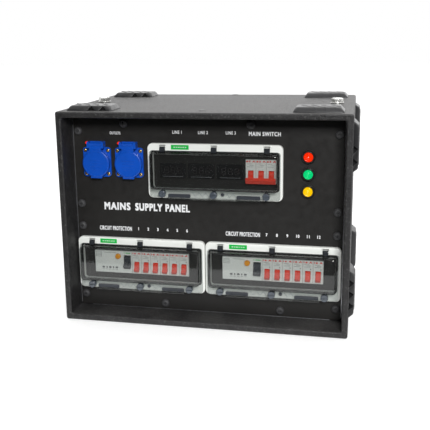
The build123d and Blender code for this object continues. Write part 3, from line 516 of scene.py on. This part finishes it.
pads = bmesh.new()
two_notches, three_notches = pad_mesh((4.0, 25.5)), pad_mesh((-20.0, 0.5, 21.0))
for sx in (-1, 1):
    for sy in (-1, 1):
        half_turn = Matrix.Rotation(0 if sx < 0 else pi, 4, "Z")
        templates = [(two_notches, Matrix.Translation((sx * PAD_X, sy * PAD_Y, TOP_Z)) @ half_turn)]
        for z, template in zip(SIDE_PAD_Z, (three_notches, two_notches)):
            axes = Matrix(((0, 0, sx * sy), (0, -sy, 0), (sx, 0, 0))).transposed()
            templates.append((template, Matrix.Translation((sx * SIDE_X, sy * PAD_Y, z)) @ axes.to_4x4()))
        for template, place in templates:
            copy = template.copy()
            copy.transform(place)
            pads.from_mesh(copy)
            bpy.data.meshes.remove(copy)
piece(pads, "stacking_pads_moulded", FINISH["pad_rubber"], stands_for=["stacking_pads"])

# ---------------------------------------------------------------- lifting bolts and small plugs in the top

bolts = bmesh.new()
for x in (-BOLT_X, BOLT_X):
    place = Matrix.Translation((x, 0, TOP_Z))
    lathe(bolts, ((6.3, 0), (11.7, 0), (12.0, 0.3), (12.0, 1.6), (11.6, 2.0), (6.3, 2.0)), place, 48)
    turn = radians(12)
    loft(bolts, [polygon(10.3, 2.05, 6, turn), polygon(10.97, 2.6, 6, turn), polygon(10.97, 8.2, 6, turn),
                 polygon(9.2, 9.4, 6, turn)], place)
    lathe(bolts, ((8.2, 9.2), (8.2, 9.45), (7.2, 9.5), (7.0, 9.2), (0.1, 9.15)), place, 36)
    lathe(bolts, ((6.0, -40), (6.0, 2)), place, 24)
    nut = ((10.2, -21), (10.97, -20.4), (10.97, -11.6), (10.2, -11))
    loft(bolts, [polygon(r, h, 6) for r, h in nut], place)
piece(bolts, "lifting_bolts_turned", FINISH["stainless"], stands_for=["lifting_bolts"])

plugs = bmesh.new()
PLUG = ((6.3, 0.0), (6.3, 0.35), (5.7, 0.8), (3.0, 0.5), (0.1, 0.45))
for x, y in PLUGS:
    lathe(plugs, PLUG, Matrix.Translation((x, y, TOP_Z)), 32)
piece(plugs, "top_plugs", FINISH["pad_rubber"])

# ---------------------------------------------------------------- sockets

for number, x in enumerate(SOCKETS, 1):
    low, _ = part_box(f"socket_lid_{number}")
    face = low.y / MM + 0.05
    relief = bmesh.new()
    for dz, width in ((5.5, 24.0), (0.0, 22.0), (-5.5, 24.0), (-11.0, 15.0)):
        bar(relief, width, 1.0, 0.45, front(x, face, SOCKET_Z + dz))
    # raised outline on the hinge arm
    for dz in (-3.6, 3.6):
        bar(relief, 19.0, 0.9, 0.45, front(x, face, LID_ARM_Z + dz))
    for dx in (-9.1, 9.1):
        bar(relief, 0.9, 7.4, 0.45, front(x + dx, face, LID_ARM_Z))
    # ring just inside the lid's edge
    ring = ((22.4, 0.0), (22.4, 0.3), (21.7, 0.3), (21.7, 0.0), (22.4, 0.0))
    loft(relief, [polygon(r, h, 72) for r, h in ring], front(x, face, SOCKET_Z), ends=False)
    piece(relief, f"socket_lid_{number}_relief", FINISH["socket_blue"], f"socket_lid_{number}")

# ---------------------------------------------------------------- lamps

def ribbed_lens(bm, x, y, z, radius, rise):
    """Domed lens with fine concentric steps, its back at y."""
    profile = [(radius, 0.0), (radius, rise * 0.45)]
    rings = 6
    for i in range(1, rings + 1):
        r = radius * (1 - i / (rings + 1))
        h = rise * (0.45 + 0.55 * (1 - (r / radius) ** 2)) - 0.3
        profile += [(r + radius * 0.05, h + 0.32), (r, h)]
    profile += [(0.1, rise)]
    lathe(bm, profile, front(x, y, z), 48)


# dome of the small indicator at each socket's upper left corner
INDICATOR = ((2.5, 0.0), (2.5, 5.0), (2.0, 6.8), (1.1, 7.8), (0.1, 8.0))
for name, z in LAMPS.items():
    lens = bmesh.new()
    ribbed_lens(lens, LAMP_X, BEZEL_Y, z, 8.1, 8.5)
    if name == "lamp_red":
        for x in SOCKETS:
            lathe(lens, INDICATOR, front(x - 19.3, PANEL_Y + 2.0, 323.0), 24)
    slot = name.replace("lamp", "lens")
    piece(lens, name + "_ribbed", FINISH[slot], stands_for=[name], angle=20)

# ---------------------------------------------------------------- window frames, stickers and lid details

# flat black seal round each hole, behind the lid's flange: its inner and outer outline
SEAL_IN, SEAL_OUT, SEAL_T = (221.2, 66.2, 4.0), (229.0, 70.0, 6.0), 0.15
SEAL = ((SEAL_IN, 0.0), (SEAL_IN, SEAL_T), (SEAL_OUT, SEAL_T), (SEAL_OUT, 0.0), (SEAL_IN, 0.0))
bosses, stickers, marks, seals = (bmesh.new() for _ in range(4))
for cx, cz in WINDOWS.values():
    loft(seals, [rounded(*outline, h) for outline, h in SEAL], front(cx, FRAME_Y, cz + 2.0), ends=False)
    for dx in STATIONS:
        # raised arcs on both sides of each hinge
        for side in (-1, 1):
            loops = []
            for i in range(11):
                a = -0.36 + 1.31 * i / 10
                loops.append([(side * r * cos(a), r * sin(a), h)
                              for r, h in ((8.3, -0.1), (8.3, 0.55), (9.5, 0.55), (9.5, -0.1))])
            loft(bosses, loops, front(cx + dx, FRAME_Y, cz + 41.0))
    loft(stickers, [rounded(32.0, 8.2, 0.4, h) for h in (0.0, 0.15)], front(cx - 60.5, FRAME_Y, cz + 43.0))
    for i, width in enumerate((2.6, 2.0, 2.8, 1.8, 2.4, 2.2)):
        bar(marks, width, 1.7, 0.1, front(cx - 70.5 + 4.1 * i, FRAME_Y - 0.15, cz + 43.0))
piece(bosses, "frame_hinge_bosses", FINISH["frame_white"])
piece(seals, "frame_seals", FINISH["wire_black"])
piece(stickers, "frame_stickers", sticker_green)
piece(marks, "frame_sticker_marks", ink_white)

KNUCKLE_R, KNUCKLE_W = 2.64, 9.62
for window, (cx, cz) in WINDOWS.items():
    lid = f"window_lid_{window}"
    face = LID_Y + 0.05
    relief, dark, covers = bmesh.new(), bmesh.new(), bmesh.new()
    # dark covers on the hinge tabs, wrapped over the knuckles
    for dx in STATIONS:
        bar(covers, KNUCKLE_W, 7.5, 2.8, front(cx + dx, FRAME_Y - 0.28, cz + 38.85))
        knuckle = Matrix.Translation((cx + dx - KNUCKLE_W / 2, FRAME_Y + 2.0, cz + 41.0))
        sideways = Matrix.Rotation(pi / 2, 4, "Y")
        lathe(covers, ((KNUCKLE_R, 0.0), (KNUCKLE_R, KNUCKLE_W)), knuckle @ sideways, 24)
    # zigzag webs and dark gussets along the lower flange, between the knobs
    for left, teeth in ((-39.0, 3), (22.0, 2)):
        points = [(left + 6.0 * i, -43.5 if i % 2 else -36.5) for i in range(2 * teeth)]
        for (x0, z0), (x1, z1) in zip(points, points[1:]):
            middle = front(cx + (x0 + x1) / 2, face, cz + (z0 + z1) / 2)
            slope = Matrix.Rotation(Vector((1, 0)).angle_signed(Vector((x1 - x0, -(z1 - z0)))), 4, "Z")
            bar(relief, 9.0, 0.8, 0.6, middle @ slope)
    for x0, x1 in ((-83.0, -42.0), (40.0, 82.0)):
        bar(dark, x1 - x0, 6.5, 1.0, front(cx + (x0 + x1) / 2, face, cz - 43.2))
    rivet = ((3.2, 0.0), (3.2, 0.7), (2.4, 1.0), (0.1, 1.0))
    lathe(dark, rivet, front(cx + 15.5, face, cz - 39.0), 24)
    piece(relief, f"{lid}_webs", web_grey, lid)
    piece(dark, f"{lid}_gussets", FINISH["lever_dark"], lid)
    piece(covers, f"{lid}_hinge_covers", hinge_smoke, lid)

# ---------------------------------------------------------------- prints on the devices and the panel

white, red, grey, green, seams = (bmesh.new() for _ in range(5))


def row(window):
    """Left end and middle height of the device row behind a window."""
    cx, cz = WINDOWS[window]
    return cx - 5 * MODULE, cz + 2.0


def breaker_print(x, z):
    """Marks on one breaker's nose: a rating line, small print and a symbol."""
    letters(red, "16 A", 15.0, 3.4, front(x, NOSE_Y, z + 17.8), bold=0.26)
    for k, (dx, width) in enumerate(((-2.0, 9.0), (1.5, 7.0), (-1.0, 11.0))):
        bar(grey, width, 0.55, 0.1, front(x + dx, NOSE_Y, z + 13.8 - 2.2 * k))
    bar(grey, 1.6, 2.0, 0.1, front(x + 4.5, NOSE_Y, z + 5.6))
    for k, width in enumerate((8.0, 10.5)):
        bar(grey, width, 0.5, 0.1, front(x - 0.5, NOSE_Y, z - 14.0 - 2.4 * k))


for window in ("left", "right"):
    start, z = row(window)
    for i in range(6):
        breaker_print(start + (4.5 + i) * MODULE, z)
        bar(seams, 0.45, 41.0, 0.08, front(start + (4 + i) * MODULE, NOSE_Y, z))
    middle = start + 2 * MODULE
    for k in range(4):
        bar(grey, 9.0, 0.5, 0.1, front(middle - 28.5, NOSE_Y, z + 17.5 - 2.6 * k))
    bar(grey, 0.5, 10.0, 0.1, front(middle - 33.4, NOSE_Y, z + 13.6))
    bar(grey, 0.5, 10.0, 0.1, front(middle - 23.6, NOSE_Y, z + 13.6))
    bar(grey, 22.0, 0.6, 0.1, front(middle - 6.0, NOSE_Y, z + 17.8))
    for k in range(5):
        bar(grey, 2.4 if k % 2 else 5.0, 3.6, 0.1, front(middle - 20.0 + 6.4 * k, NOSE_Y, z - 11.0))
        bar(grey, 4.4, 0.6, 0.1, front(middle - 20.0 + 6.4 * k, NOSE_Y, z - 15.0))
    letters(green, "I ON", 12.0, 3.0, front(middle + 26.5, NOSE_Y, z + 17.6), bold=0.2)
main_z = WINDOWS["top"][1] + 2.0
for i in (-1, 0, 1):
    letters(red, "63 A", 16.0, 3.4, front(MAIN_X + i * MODULE, NOSE_Y, main_z + 18.0), bold=0.26)
    for k, (dx, width) in enumerate(((-2.5, 8.0), (1.5, 7.0), (-1.5, 10.0))):
        bar(grey, width, 0.5, 0.1, front(MAIN_X + i * MODULE + dx, NOSE_Y, main_z + 13.8 - 2.6 * k))
for i in (-0.5, 0.5):
    bar(seams, 0.45, 41.0, 0.08, front(MAIN_X + i * MODULE, NOSE_Y, main_z))

# words, middle across and up, width, cap height and extra weight
LABELS = (
    ("OUTLETS", -162.8, 340.9, 20.0, 5.2, 0.14),
    ("LINE 1", -48.4, 344.0, 17.0, 5.6, 0.16),
    ("LINE 2", -1.8, 344.0, 17.5, 5.6, 0.16),
    ("LINE 3", 47.3, 344.0, 17.5, 5.6, 0.16),
    ("MAIN SWITCH", 106.2, 343.0, 55.0, 7.4, 0.3),
    ("MAINS", -164.0, 206.3, 50.0, 14.2, 0.7),
    ("SUPPLY PANEL", -79.0, 206.3, 102.0, 14.2, 0.7),
    ("CIRCUIT PROTECTION", -168.8, 164.2, 62.0, 8.0, 0.24),
    ("CIRCUIT PROTECTION", 67.6, 163.4, 61.5, 8.0, 0.24),
)
for words, x, z, width, height, bold in LABELS:
    letters(white, words, width, height, front(x, PANEL_Y, z), bold=bold)
for first, x0, x1, z in ((1, -124.9, -33.9, 165.0), (7, 110.0, 201.0, 164.0)):
    for i in range(6):
        number = first + i
        letters(white, str(number), None, 5.8, front(x0 + (x1 - x0) * i / 5, PANEL_Y, z), bold=0.27)
REAR_LABELS = (
    ("SUPPLY", -120.0, 221.0, 26.0),
    ("1 - 6", -105.0, 136.0, 18.0),
    ("7 - 12", 105.0, 136.0, 20.0),
)
for words, x, z, width in REAR_LABELS:
    letters(white, words, width, 6.0, rear(x, REAR_Y, z), bold=0.27)
piece(white, "panel_lettering", ink_white)
piece(red, "device_ratings", ink_red)
piece(grey, "device_small_print", ink_grey)
piece(green, "device_on_marks", ink_green)
piece(seams, "device_seams", ink_dark)

# unlit digits, and under them on each voltmeter a light line that is a painted highlight of the bezel's lower
# chamfer
digits, bezel_highlights = bmesh.new(), bmesh.new()
for x in METERS:
    for i in (-1, 0, 1):
        cx = x + 11.5 * i
        for dz in (-5.4, 0.0, 5.4):
            bar(digits, 5.4, 1.1, 0.08, front(cx, BEZEL_Y, METER_Z + 0.5 + dz))
        for dx in (-3.4, 3.4):
            for dz in (-2.7, 2.7):
                bar(digits, 1.1, 4.2, 0.08, front(cx + dx, BEZEL_Y, METER_Z + 0.5 + dz))
    # painted highlight: a light bar where the bezel's lower chamfer catches the light
    bar(bezel_highlights, 37.0, 0.7, 0.35, front(x, NOSE_Y, METER_Z - 10.6))
piece(digits, "voltmeter_digits", segment_dim)
piece(bezel_highlights, "voltmeter_bezel_highlights", painted_highlight_grey)

# ---------------------------------------------------------------- floor

floor_mesh = bpy.data.meshes.new("floor")
floor_bm = bmesh.new()
bmesh.ops.create_grid(floor_bm, x_segments=8, y_segments=8, size=9.0)
floor_bm.to_mesh(floor_mesh)
floor_bm.free()
floor = bpy.data.objects.new("floor", floor_mesh)
scene.collection.objects.link(floor)
floor.location.z = -0.0005
# a little light of its own makes the floor render white, and it stays out of reflections and bounced light
floor_mesh.materials.append(surface("floor", (0.60, 0.60, 0.60), 0.6, vary=0.01, patch=2.0, edge=0.0,
                                    Emission_Color=(1.0, 1.0, 1.0, 1.0), Emission_Strength=0.46))
floor.visible_diffuse = floor.visible_glossy = False

# Black flags, out of the camera's sight, keep the front of the studio dark
flag_black = surface("flag_black", (0.012, 0.012, 0.012), 0.9, vary=0.1, patch=4.0, edge=0.0)
for name, corners in (
        ("flag_upright", ((-4.0, -3.2, 0.0), (4.0, -3.2, 0.0), (4.0, -3.2, 4.0), (-4.0, -3.2, 4.0))),
        ("flag_low", ((-4.0, -3.2, -0.01), (4.0, -3.2, -0.01), (4.0, -0.47, -0.01), (-4.0, -0.47, -0.01))),
        ("flag_left", ((-2.2, -3.2, 0.0), (-2.2, -0.6, 0.0), (-2.2, -0.6, 3.0), (-2.2, -3.2, 3.0))),
        ("flag_right", ((2.6, -3.2, 0.0), (2.6, -0.9, 0.0), (2.6, -0.9, 3.0), (2.6, -3.2, 3.0)))):
    mesh = bpy.data.meshes.new(name)
    mesh.from_pydata(corners, [], [(0, 1, 2, 3)])
    mesh.materials.append(flag_black)
    flag = bpy.data.objects.new(name, mesh)
    scene.collection.objects.link(flag)
    flag.visible_camera = False
